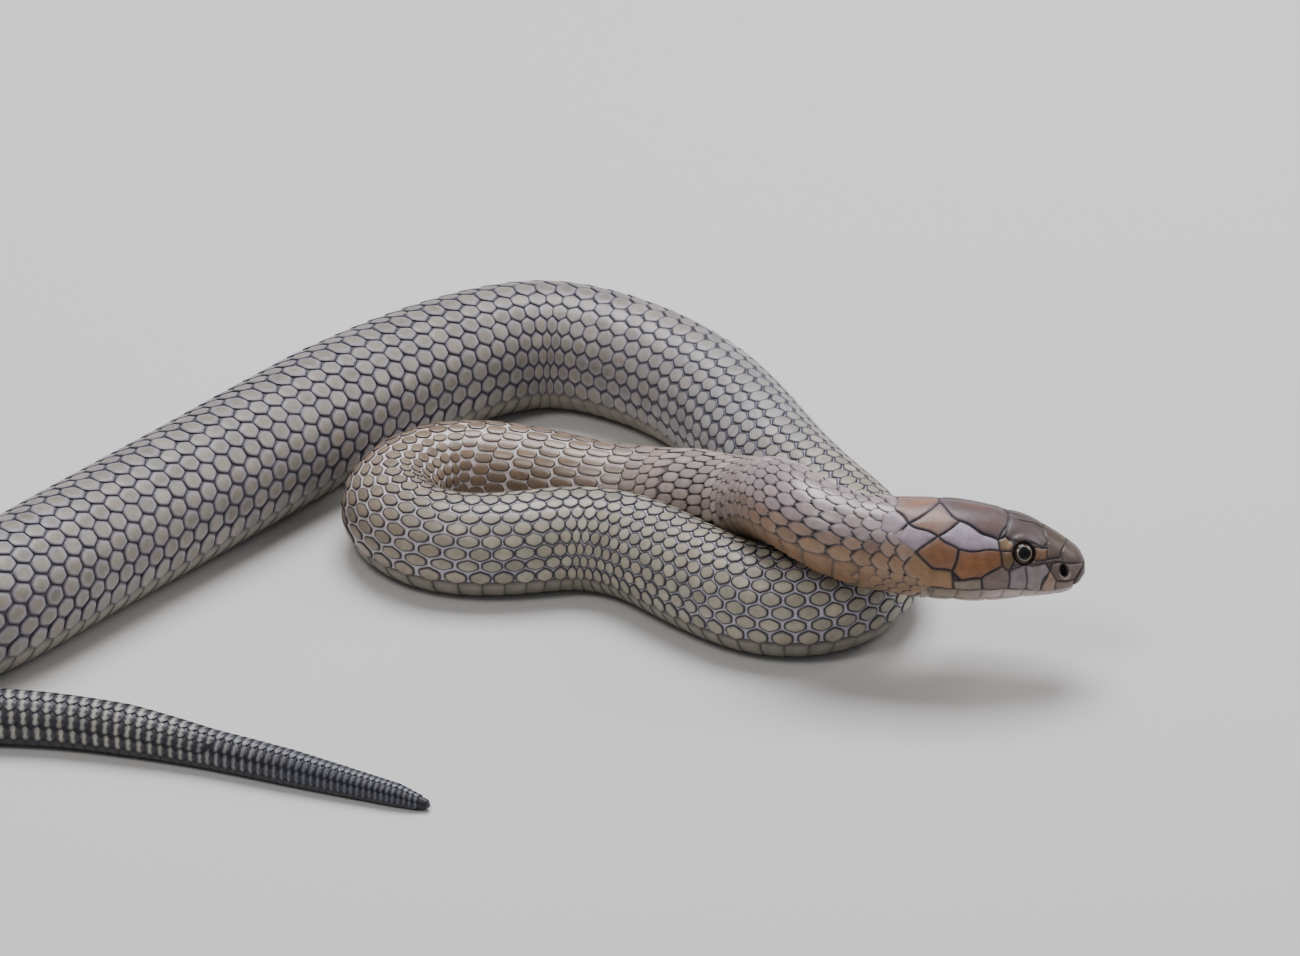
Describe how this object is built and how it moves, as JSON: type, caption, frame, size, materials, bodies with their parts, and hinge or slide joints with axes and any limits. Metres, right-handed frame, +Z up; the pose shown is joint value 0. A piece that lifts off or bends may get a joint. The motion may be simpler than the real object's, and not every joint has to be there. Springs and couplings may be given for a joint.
{
  "type": "king cobra",
  "caption": "Life-size king cobra lying in loose coils on the floor, its head raised over the lower coil, with plated head, round eyes and tapering tail.",
  "frame": {"origin": "middle of the outline on the floor, at floor level", "axes": "+X is the way the head points, +Z up from the floor, +Y away from the side shown in the picture"},
  "size_m": [0.7496, 0.4672, 0.0702],
  "materials": {
    "head_skin": "smooth glossy bronze head plates with dark seams",
    "lip_skin": "smooth pale pinkish chin and lip plates",
    "eye": "clear glossy round eye with a thin tan ring round a black pupil",
    "neck_skin": "smooth oblique brown scales with pale skin between them",
    "trunk_skin": "smooth beige-grey scales with dark rims",
    "tail_skin": "smooth blackish scales with rows of pale grey spots"
  },
  "bodies": {
    "root": {"head": "head_skin", "lower_jaw": "lip_skin", "eye_left": "eye", "eye_right": "eye", "neck_1": "neck_skin", "neck_2": "neck_skin", "trunk_01": "trunk_skin", "trunk_02": "trunk_skin", "trunk_03": "trunk_skin", "trunk_04": "trunk_skin", "trunk_05": "trunk_skin", "trunk_06": "trunk_skin", "trunk_07": "trunk_skin", "trunk_08": "trunk_skin", "trunk_09": "trunk_skin", "trunk_10": "trunk_skin", "trunk_11": "trunk_skin", "trunk_12": "trunk_skin", "trunk_13": "trunk_skin", "trunk_14": "trunk_skin", "trunk_15": "trunk_skin", "tail_1": "tail_skin", "tail_2": "tail_skin", "tail_3": "tail_skin", "tail_4": "tail_skin"}
  },
  "joints": []
}
